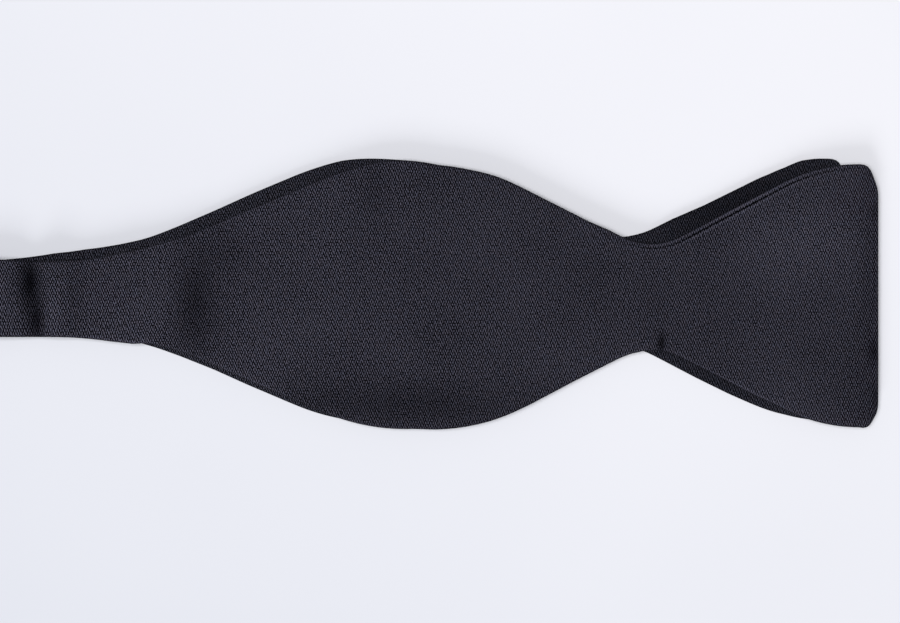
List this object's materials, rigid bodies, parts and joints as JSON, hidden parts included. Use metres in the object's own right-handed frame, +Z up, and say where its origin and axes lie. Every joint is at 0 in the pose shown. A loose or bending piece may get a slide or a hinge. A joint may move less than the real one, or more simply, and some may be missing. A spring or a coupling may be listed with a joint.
{
  "type": "bow tie",
  "caption": "Self-tie butterfly bow tie of black barathea silk, folded in two, with a neckband adjusted by a metal hook, eye and slider.",
  "frame": {"origin": "middle of the folded tie's length and width, on the surface that it lies on", "axes": "+X along the tie from the clasp to the blade ends, +Z up out of the surface, +Y across the blades"},
  "size_m": [0.4296, 0.0676, 0.009],
  "materials": {
    "silk": "barathea weave, soft sheen",
    "interlining": "plain brushed wool and cotton",
    "thread": "twisted polyester thread",
    "label": "woven satin",
    "clasp_metal": "bright nickel plate"
  },
  "bodies": {
    "lower_half": {"lower_face_panel": "silk", "lower_back_panel": "silk", "lower_interlining": "interlining", "lower_seam_thread": "thread", "eye_loop": "silk", "eye_tack": "thread", "care_label": "label", "label_stitches": "thread", "closing_stitches": "thread"},
    "eye": {"eye": "clasp_metal"},
    "hook": {"hook": "clasp_metal"},
    "neckband": {"hook_loop": "silk", "band_outer_run": "silk", "band_return_run": "silk"},
    "slider": {"slider": "clasp_metal", "slider_loop": "silk", "slider_tack": "thread"},
    "upper_blade": {"upper_face_panel": "silk", "upper_back_panel": "silk", "upper_interlining": "interlining", "upper_seam_thread": "thread"}
  },
  "joints": [
    {"name": "clasp_fold", "type": "hinge", "parent": "eye", "child": "hook", "pos_m": [-0.21315, -0.0007, 0.0047], "axis": [0, -1, 0], "range_deg": [0, 140]},
    {"name": "eye_swivel", "type": "hinge", "parent": "lower_half", "child": "eye", "pos_m": [-0.20601, 0.0007, 0.0021], "axis": [0, -1, 0], "range_deg": [0, 20]},
    {"name": "hook_swivel", "type": "hinge", "parent": "hook", "child": "neckband", "pos_m": [-0.20601, -0.0007, 0.0073], "axis": [0, -1, 0], "range_deg": [0, 20]},
    {"name": "neck_size", "type": "slide", "parent": "neckband", "child": "upper_blade", "axis": [1, 0, 0], "range_m": [-0.035, 0.035], "deforming": ["band_outer_run"]},
    {"name": "slider_slide", "type": "slide", "parent": "neckband", "child": "slider", "axis": [0.9995, 0, -0.0306], "range_m": [-0.035, 0.035], "deforming": ["band_return_run"]}
  ],
  "couplings": [
    {"joint": "slider_slide", "follows": "neck_size", "ratio": -1}
  ]
}
